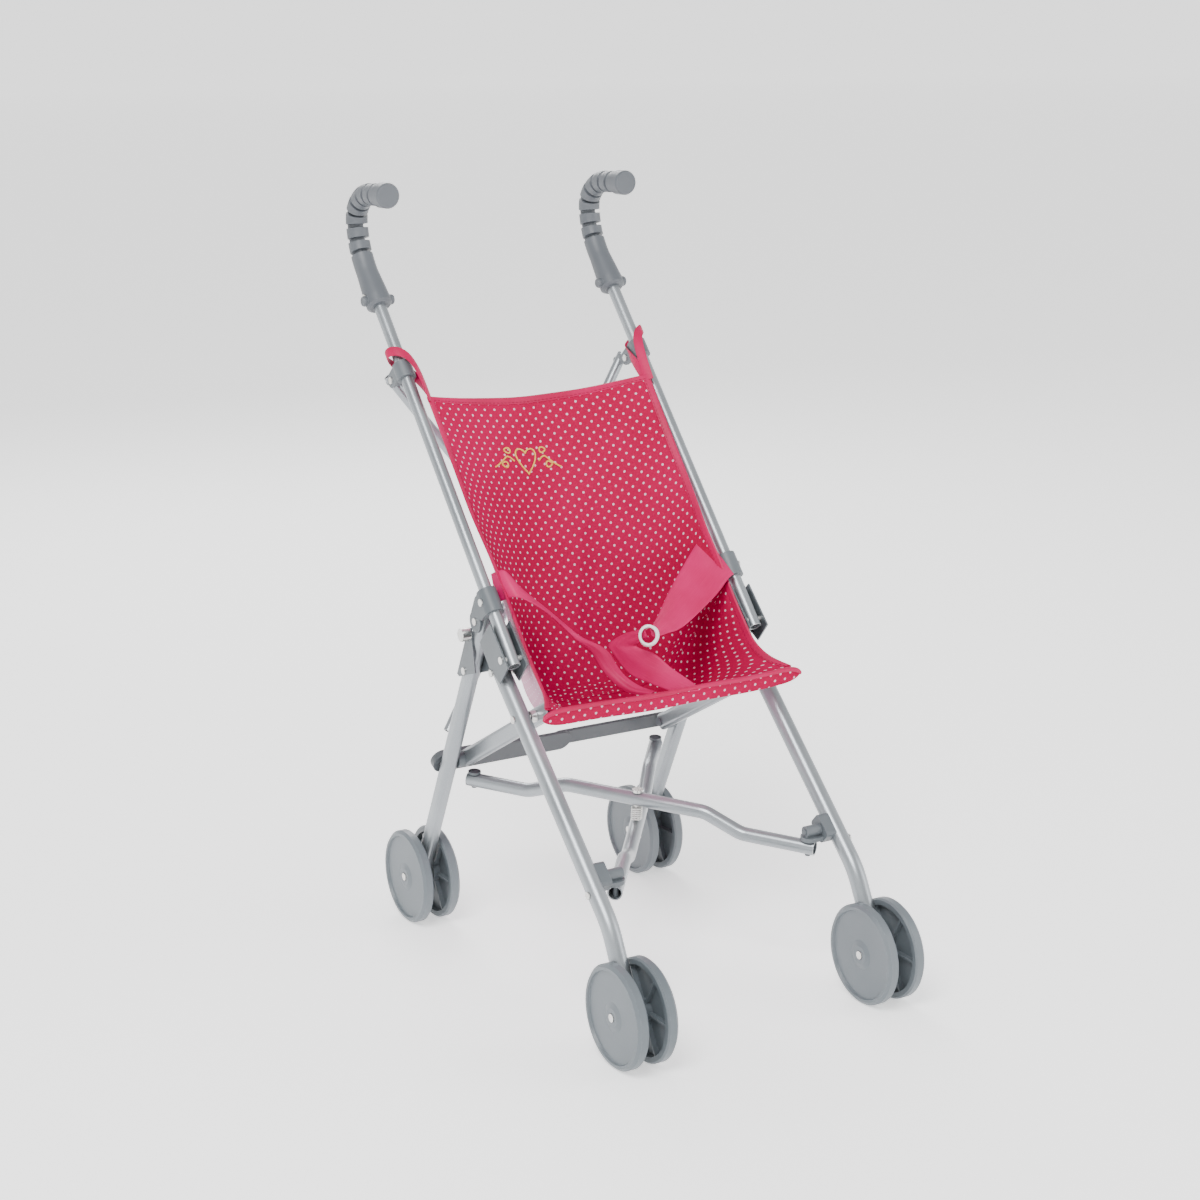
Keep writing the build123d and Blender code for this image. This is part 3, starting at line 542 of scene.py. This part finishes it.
# every soft piece rides with a body on the left side
back = cloth_grid("sling_back", back_point, 96, 90, cotton, ON_BACK, CLOTH_T, reverse)
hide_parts("seat_sling")
seat = cloth_grid("sling_seat", seat_point, 96, 72, cotton, ON_SEAT, CLOTH_T, reverse)
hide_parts("seat_sling")

# ---- bindings and top loops ----
# Plain pink satin tape: folded over the top hem and the long edges of the sling and sewn down, and
# carried on at the two top corners as loops that hang the cloth from the handle tubes.


def satin(name, dark, light):
    """Woven satin: fine cross ribs, soft streaks along the warp."""
    ribbon = Finish(name, specular=0.2)
    flat = ribbon.node("ShaderNodeAttribute", {"attribute_name": "flat_cloth"}, out="Vector")
    parts = ribbon.nodes.new("ShaderNodeSeparateXYZ")
    ribbon.links.new(flat.socket, parts.inputs[0])
    across, down = Link(ribbon, parts.outputs[0]), Link(ribbon, parts.outputs[1])
    ribs = (down / (0.7 * MM)).fold() * 2
    stretched = ribbon.node("ShaderNodeCombineXYZ", None, {0: across * 2200.0, 1: down * 60.0})
    warp = ribbon.noise(1.0, 3.0, stretched)
    cloud = ribbon.noise(30.0, 3.0).smooth(0.3, 0.7)
    pink = ribbon.mix(cloud, dark, light)
    pink = ribbon.mix(warp.smooth(0.45, 0.7) * 0.25, pink, tint(light, 1.3, 0.01))
    return ribbon.finish(pink, 0.42 + warp * 0.12, ribbon.bump(ribs * 0.6 + warp, 0.00006, 0.5))


def band(bm, rings):
    """Joins closed rings of points into a tube of cloth with closed ends."""
    rows = [[bm.verts.new(p) for p in ring] for ring in rings]
    count = len(rows[0])
    for a, b in zip(rows, rows[1:]):
        for k in range(count):
            bm.faces.new((a[k], a[(k + 1) % count], b[(k + 1) % count], b[k]))
    bm.faces.new(rows[0])
    bm.faces.new(rows[-1])


STITCH = 2.2 * MM
STITCH_GAP = 1.1 * MM
THREAD_R = 0.24 * MM


def stitches(bm, points, lift_at):
    """A row of thread stitches along points, each a small six-sided spindle."""
    travelled, k = 0.0, 0
    for i, (a, b) in enumerate(zip(points, points[1:])):
        travelled += (b - a).length
        if travelled < (STITCH + STITCH_GAP) * (k + 1):
            continue
        k += 1
        way = (b - a).normalized()
        out = lift_at(i)
        side = way.cross(out).normalized()
        rings = []
        for share, size in ((0.0, 0.35), (0.2, 1.0), (0.8, 1.0), (1.0, 0.35)):
            centre = a + way * STITCH * (share - 0.5)
            rings.append([
                centre + (side * math.cos(t) + out * math.sin(t)) * THREAD_R * size
                for t in (2 * math.pi * n / 6 for n in range(6))
            ])
        band(bm, rings)


tape_pink = satin("satin_tape", (0.36, 0.0, 0.048, 1), (0.44, 0.0, 0.070, 1))
thread_pink = satin("sewing_thread", (0.25, 0.0, 0.03, 1), (0.32, 0.0, 0.045, 1))
# section of the folded tape, in millimetres: in from the edge, and off the cloth
TAPE_FOLD = ((6.5, 0.75), (6.2, 1.0), (3.0, 1.1), (0.4, 0.95), (-0.7, 0.0), (0.4, -0.95), (3.0, -1.1),
             (6.2, -1.0), (6.5, -0.75))
SEAM_IN = 5.0  # of the stitches, from the edge
TOP_REACH = 285  # millimetres of cloth down to v = 1, at the rate of the top hem


def top_edge(t, deep):
    """Point and normal of the cloth, a share along the top hem and deep millimetres below it."""
    v = max(0.0, deep) / TOP_REACH
    return sling_point(-1 + 2 * t, v), sling_normal(-1 + 2 * t, v)


def side_edge(side, t, deep):
    """The same along a side edge; side is -1 or 1."""
    v = 0.005 + 0.985 * t
    slope = (sling_point(side, v) - sling_point(side * 0.985, v)).length / 0.015 / MM
    u = side * (1 - max(0.0, deep) / slope)
    return sling_point(u, v), sling_normal(u, v)


def binding(name, edge, steps, wide, body):
    """Tape folded over one edge, with its row of stitches; edge(share, depth) is on the cloth."""
    bm = bmesh.new()
    rings = []
    for j in range(steps + 1):
        t = j / steps
        rim, _ = edge(t, 0.0)
        inner, _ = edge(t, 2.0)
        away = (rim - inner).normalized()
        ring = []
        for deep, lift in TAPE_FOLD:
            at, normal = edge(t, deep * wide)
            ring.append(at + normal * lift * MM + away * max(0.0, -deep) * MM)
        rings.append(ring)
    band(bm, rings)
    tape = new_piece(name, bm, tape_pink, body)
    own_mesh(tape)
    sewn = bmesh.new()
    line = [edge(j / 2000, SEAM_IN * wide) for j in range(20, 1980)]
    stitches(sewn, [at + n * 1.2 * MM for at, n in line], lambda i: line[i][1])
    thread = new_piece(name + "_stitches", sewn, thread_pink, body)
    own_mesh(thread)
    return [tape, thread]


def back_side(side):
    return lambda t, deep: side_edge(side, t * (CREASE + LAP), deep)


def seat_side(side):
    return lambda t, deep: side_edge(side, CREASE - LAP + t * (1 - CREASE + LAP), deep)


SIDES = ((-1, "left"), (1, "right"))
on_back = binding("top_hem", top_edge, 110, 1.0, ON_BACK)
on_seat = []
for side, side_name in SIDES:
    on_back += binding(f"back_edge_{side_name}", back_side(side), 110, 0.75, ON_BACK)
    on_seat += binding(f"seat_edge_{side_name}", seat_side(side), 80, 0.75, ON_SEAT)

LOOP_W = 7.0 * MM
handle_front = Vector((0, -handle_way.z, handle_way.y))
handle_x = (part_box("handle_tube_right")[0].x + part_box("handle_tube_right")[1].x) / 2


def loop_point(side, along, front, across):
    """A point near a handle tube: up the tube, in front of its axis, and outwards of it, in millimetres."""
    start = Vector((side * handle_x, *pivot["handle_fold"].yz))
    return start + handle_way * along * MM + handle_front * front * MM + Vector((side * across * MM, 0, 0))


LOOP_T = 0.8 * MM
TAPE_SECTION = ((-1, 0.4), (-0.85, 1), (0, 1.25), (0.85, 1), (1, 0.4), (1, -0.4), (0.85, -1), (0, -0.75),
                (-0.85, -1), (-1, -0.4))  # shares of half the width and half the thickness


def tape_strip(name, path, faces, wide, body, finish):
    """A flat tape along a path; faces are the directions that its face looks, one for each point."""
    bm = bmesh.new()
    rings = []
    for i, p in enumerate(path):
        way = (path[min(i + 1, len(path) - 1)] - path[max(i - 1, 0)]).normalized()
        across = way.cross(faces[i]).normalized()
        out = across.cross(way).normalized()
        half, lift = wide / 2, LOOP_T / 2
        rings.append([p + across * half * a + out * lift * b for a, b in TAPE_SECTION])
    band(bm, rings)
    return new_piece(name, bm, finish, body)


for side, side_name in SIDES:
    keys = [(207, 8.0, -7.5), (228, 9.6, -7.0), (246, 9.4, -3.4), (253, 8.0, 3.6), (256, 2.5, 8.8),
            (255, -4.0, 8.2), (252, -8.4, 2.4), (246, -8.2, -4.8), (232, 0.5, -9.6), (209, 6.6, -8.6)]
    path = smooth_path([loop_point(side, *k) for k in keys], 70)
    axis_start = Vector((side * handle_x, *pivot["handle_fold"].yz))
    faces = []
    for p in path:
        off = p - axis_start
        faces.append((off - handle_way * off.dot(handle_way)).normalized())
    loop = tape_strip(f"top_loop_{side_name}", path, faces, LOOP_W, ON_BACK, tape_pink)
    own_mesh(loop)
    on_back.append(loop)

# ---- front lip ----
# The seat ends in a stiff hem: a dotted band over a flat insert, with a satin piping along its top
# edge and rounded ears where it passes the seat rails.

LIP_HALF = 105.0
LIP_TALL = 11.0
LIP_T = 3.2
LIP_Y, LIP_Z = -54.0, 211.5  # middle of the band at its ends
LIP_LEAN = 0.22  # forward lean of the band, as a share of its height


def lip_frame(u):
    """Middle of the band, its half height and half thickness at u from -1 to 1."""
    end = max(0.0, (abs(u) - 0.8) / 0.2)
    taper = math.sqrt(max(0.03, 1 - end ** 2.6))
    sag = 1 - u * u
    middle = Vector((u * LIP_HALF, LIP_Y - 2.0 * sag, LIP_Z - 1.2 * sag + 0.35 * math.sin(8 * u)))
    return middle, LIP_TALL / 2 * taper, LIP_T / 2 * max(0.45, taper)


def natural(x, y, z):
    """A point given in millimetres from the middle of the wheelbase."""
    return Vector((x * MM, y * MM + AXLE_MID_Y, z * MM))


def lip_point(u, turn):
    middle, tall, thick = lip_frame(u)
    c, n = math.cos(turn), math.sin(turn)
    side = math.copysign(abs(n) ** 0.35, n) * thick
    lean = LIP_LEAN * tall * c
    return natural(middle.x, middle.y - side - lean, middle.z + c * tall)


LIP_STEPS, LIP_RIM = 150, 28
lip_rows = [
    [lip_point(-1 + 2 * i / LIP_STEPS, 2 * math.pi * k / LIP_RIM) for k in range(LIP_RIM)]
    for i in range(LIP_STEPS + 1)
]
lip_bm = bmesh.new()
band(lip_bm, lip_rows)
lip_mesh = bpy.data.meshes.new("front_lip")
bmesh.ops.recalc_face_normals(lip_bm, faces=lip_bm.faces)
lip_bm.to_mesh(lip_mesh)
lip_bm.free()
layer = lip_mesh.attributes.new("flat_cloth", "FLOAT_VECTOR", "POINT")
layer.data.foreach_set("vector", [c for v in lip_mesh.vertices for c in (v.co.x, v.co.z + v.co.y * 0.3, 0.0)])
lip = new_piece("front_lip", lip_mesh, cotton, ON_SEAT)
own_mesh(lip)
on_seat.append(lip)


def piping_radius(share, turn):
    return (1.7 + 0.12 * math.sin(share * 900)) * MM


piping_bm = bmesh.new()
piping_path = []
for i in range(141):
    u = -1 + 2 * i / 140
    middle, tall, thick = lip_frame(u)
    piping_path.append(natural(middle.x, middle.y - LIP_LEAN * tall - 0.6, middle.z + tall + 0.3))
tube_mesh(piping_bm, piping_path, Vector((0, 0, 1)), piping_radius, 12)
piping = new_piece("lip_piping", piping_bm, tape_pink, ON_SEAT)
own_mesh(piping)
on_seat.append(piping)

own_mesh(back)
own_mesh(seat)

# ---- harness ----
# Wide satin ribbons sewn into the side edges and the front of the seat, drawn together through the
# rings. They are softly folded where they narrow, and thinner than the tape.

ribbon_pink = satin("satin_ribbon", (0.44, 0.002, 0.075, 1), (0.52, 0.006, 0.105, 1))
RIBBON_T = 0.7 * MM


def ribbon(name, edge_a, edge_b, replaced):
    """A ribbon between two edge lines, with soft folds along it; its points are in millimetres."""

    def point(u, v):
        a, b = Vector(station(v, edge_a)), Vector(station(v, edge_b))
        p = a.lerp(b, (u + 1) / 2)
        e = 0.01
        ahead = Vector(station(min(1, v + e), edge_a)) - Vector(station(max(0, v - e), edge_a))
        face = (b - a).cross(ahead).normalized()
        ruffle = 0.8 * math.cos(u * 2.2) + 0.35 * math.sin(7 * u + 5 * v) * v * v
        return natural(*(p + face * ruffle))

    piece = cloth_grid(name, point, 16, 72, ribbon_pink, ON_SEAT, RIBBON_T)
    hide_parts(replaced)
    edges = [sum((b - a).length for a, b in zip(line, line[1:]))
             for line in ([point(u, k / 40) for k in range(41)] for u in (-1, 0, 1))]
    wide = sum((point(1, k / 40) - point(-1, k / 40)).length for k in range(41)) / 41
    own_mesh(piece)
    return piece


ribbon("ribbon_left",
       [(-91, 44, 292), (-86, 32, 296), (-73, 33, 282), (-52, 32, 262), (-32, 21, 243), (-17, 11, 233),
        (-9, 3, 217), (-4, -11, 210), (2, -26, 208)],
       [(-91, 32, 274), (-86, 18, 280), (-76, 14, 276), (-58, 16, 263), (-38, 19, 243), (-27, 17, 232),
        (-20, 9, 217), (-11, -4, 205), (-3, -24, 205)], "harness_strap_left")
ribbon("ribbon_right",
       [(93, 48, 295), (88, 50, 293), (76, 45, 285), (42, 19, 268), (18, -4, 258), (3, -18, 253)],
       [(94, 14, 273), (88, 12, 271), (72, 7, 260), (36, -9, 247), (16, -17, 246), (3, -21, 246)],
       "harness_strap_right")
ribbon("ribbon_crotch",
       [(0, -55, 212), (2, -46, 213), (-2, -24, 214), (-7, -2, 217), (-13, 9, 230), (-14, 13, 236),
        (-7, 3, 245), (-1, -16, 252)],
       [(16, -60, 215), (16, -54, 218), (11, -33, 225), (5, -20, 233), (-1, -10, 236), (-3, -7, 238),
        (-3, -11, 241), (1, -18, 245)], "crotch_strap")

# ---- rings ----
# Two small hoops of glossy white plastic, lying a little askew of each other, hold the ribbons
# together. Each is slightly squashed sideways by their pull.

gloss_white = Finish("white_plastic", coat=0.6)
cloudy = gloss_white.noise(180.0, 3.0)
gloss_white.finish(gloss_white.mix(cloudy, (0.74, 0.73, 0.72, 1), (0.83, 0.82, 0.81, 1)), 0.16 + cloudy * 0.1,
                   gloss_white.bump(gloss_white.noise(900.0, 2.0), 0.00003, 0.3))
HOOP_WIRE = 1.15  # radius of the hoops' section, in millimetres
HOOP_STEPS, WIRE_STEPS = 48, 14
ring_bm = bmesh.new()
for gap, lean, reach in ((-1.3, 0.10, 7.0), (1.3, -0.12, 6.6)):
    facing = Vector((-0.62, -0.66 + lean, 0.42 + lean)).normalized()
    sideways = facing.cross(Vector((0, 0, 1))).normalized()
    upwards = sideways.cross(facing)
    centre = natural(0.5, -18.7, 247.5) + facing * gap * MM
    hoops = []
    for k in range(HOOP_STEPS):
        turn = 2 * math.pi * k / HOOP_STEPS
        out = sideways * math.cos(turn) * 0.92 + upwards * math.sin(turn)
        section = []
        for w in (2 * math.pi * n / WIRE_STEPS for n in range(WIRE_STEPS)):
            at = out * (reach + HOOP_WIRE * math.cos(w)) * MM + facing * HOOP_WIRE * math.sin(w) * MM
            section.append(ring_bm.verts.new(centre + at))
        hoops.append(section)
    for a, b in zip(hoops, hoops[1:] + hoops[:1]):
        for k in range(WIRE_STEPS):
            ring_bm.faces.new((a[k], a[(k + 1) % WIRE_STEPS], b[(k + 1) % WIRE_STEPS], b[k]))
rings_piece = new_piece("strap_rings", ring_bm, gloss_white.material, ON_SEAT)
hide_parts("strap_ring")
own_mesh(rings_piece)

# ---- embroidery ----
# A small heart between two curled sprigs, worked in gold thread on the upper back: a satin-stitched
# line a little over a millimetre wide, standing slightly proud of the cloth.

gold = Finish("gold_thread", coat=0.2)
twist = (gold.node("ShaderNodeTexWave", {"bands_direction": "DIAGONAL"},
                   {"Vector": gold.place(), "Scale": 900.0, "Distortion": 2.0}, "Fac"))
gold.finish(gold.mix(twist, (0.62, 0.27, 0.03, 1), (0.93, 0.58, 0.12, 1)), 0.34 + twist * 0.15,
            gold.bump(twist, 0.00012, 0.8))


HEART_SIZE = 0.40
MOTIF_U, MOTIF_V = -0.19, 0.137  # middle of the motif on the cloth
MOTIF_WIDE, MOTIF_TALL = 62, 225  # motif units to one unit of u and of v


def heart(t):
    a = 2 * math.pi * t
    rise = 13 * math.cos(a) - 5 * math.cos(2 * a) - 2 * math.cos(3 * a)
    return HEART_SIZE * 16 * math.sin(a) ** 3, HEART_SIZE * rise


def sprig(side):
    """An S-shaped stem that ends in a curl."""
    def line(t):
        turn = 4.4 * t ** 2.2
        rise = 1.5 * math.sin(5.2 * t) + 2.4 * t * math.sin(turn) - 1.0
        return side * (8.0 + 11 * t - 2.6 * math.sin(turn) * t), rise
    return line


def leaf(side, at, rise):
    """A small pointed oval beside the stem."""
    def line(t):
        a = 2 * math.pi * t
        return side * (at + 1.9 * math.cos(a)), rise + 0.95 * math.sin(a) * (1.2 - 0.4 * math.cos(a))
    return line


def thread_radius(share, turn):
    return (0.62 + 0.08 * math.sin(share * 420)) * MM


motif_bm = bmesh.new()
leaves = [leaf(side, at, rise) for at, rise in ((11.5, 3.6), (14.5, -2.8)) for side in (-1, 1)]
for line in [heart, sprig(-1), sprig(1)] + leaves:
    threads = []
    for k in range(91):
        a, b = line(k / 90)
        u, v = MOTIF_U + a / MOTIF_WIDE, MOTIF_V - b / MOTIF_TALL
        threads.append(sling_point(u, v) + sling_normal(u, v) * 0.75 * MM)
    tube_mesh(motif_bm, threads, sling_normal(-0.19, 0.14), thread_radius, 8)
motif = new_piece("gold_motif", motif_bm, gold.material, ON_BACK)
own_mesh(motif)

# ---- floor, light and camera ----
# A pale sweep under soft light from above and the left, and the camera stands in front and to the left.

FLOOR_R = 40.0  # metres
SWEEP_R = 12.0  # of the curve that turns the floor up into the backdrop
FLOOR_SPOKES = 64
floor_bm = bmesh.new()
profile = [(0.02, 0.0), (2.0, 0.0), (FLOOR_R - SWEEP_R, 0.0)]
profile += [(FLOOR_R - SWEEP_R + SWEEP_R * math.sin(a), SWEEP_R * (1 - math.cos(a)))
            for a in (math.pi / 2 * k / 12 for k in range(1, 13))]
spokes = [2 * math.pi * k / FLOOR_SPOKES for k in range(FLOOR_SPOKES)]
circles = [[floor_bm.verts.new((r * math.cos(t), r * math.sin(t), z)) for t in spokes] for r, z in profile]
floor_bm.faces.new(circles[0])
for near, far in zip(circles, circles[1:]):
    for k in range(FLOOR_SPOKES):
        floor_bm.faces.new((near[k], far[k], far[(k + 1) % FLOOR_SPOKES], near[(k + 1) % FLOOR_SPOKES]))
floor_mesh = bpy.data.meshes.new("floor")
floor_bm.to_mesh(floor_mesh)
floor_bm.free()
floor_mesh.polygons.foreach_set("use_smooth", [True] * len(floor_mesh.polygons))
floor = bpy.data.objects.new("floor", floor_mesh)
bpy.context.scene.collection.objects.link(floor)
paper = Finish("pale_floor")
pale = paper.mix(paper.noise(3.0), (0.93, 0.93, 0.93, 1), (0.95, 0.95, 0.95, 1))
floor_mesh.materials.append(paper.finish(pale, 0.85))
paper.shader.inputs["Emission Color"].default_value = (1, 1, 1, 1)
paper.shader.inputs["Emission Strength"].default_value = 0.8

world = bpy.data.worlds.new("studio")
bpy.context.scene.world = world
world.use_nodes = True
world.node_tree.nodes["Background"].inputs[0].default_value = (1.0, 1.0, 1.0, 1)
world.node_tree.nodes["Background"].inputs[1].default_value = 0.85

LAMPS = (
    ("key", (-1.2, -1.1, 2.1), 1.1, 62.0),
    ("fill", (1.7, -1.3, 1.1), 1.2, 16.0),
    ("rim", (0.5, 1.8, 1.5), 1.0, 26.0),
)  # name, place, size and power of each
for name, place, size, power in LAMPS:
    light = bpy.data.lights.new(name, "AREA")
    light.size = size
    light.energy = power
    lamp = bpy.data.objects.new(name, light)
    lamp.location = place
    lamp.rotation_euler = (Vector((0, 0, 0.25)) - Vector(place)).to_track_quat("-Z", "Y").to_euler()
    bpy.context.scene.collection.objects.link(lamp)

AZIMUTH, ELEVATION, ROLL = (math.radians(a) for a in (-29.669, 13.8, -1.035))
lens = bpy.data.cameras.new("camera")
lens.sensor_width = 36.0
lens.lens = 70.447
lens.shift_x = 0.0134
lens.shift_y = 0.0028
camera = bpy.data.objects.new("camera", lens)
level = Vector((math.sin(AZIMUTH), -math.cos(AZIMUTH), 0))
away = level * math.cos(ELEVATION) + Vector((0, 0, math.sin(ELEVATION)))
right = Vector((math.cos(AZIMUTH), math.sin(AZIMUTH), 0))
up = away.cross(right)
turned = right * math.cos(ROLL) + up * math.sin(ROLL)
raised = up * math.cos(ROLL) - right * math.sin(ROLL)
camera.matrix_world = Matrix((turned, raised, away)).transposed().to_4x4()
camera.location = Vector((-0.83237, -1.38928 + AXLE_MID_Y, 0.66541))
bpy.context.scene.collection.objects.link(camera)
bpy.context.scene.camera = camera
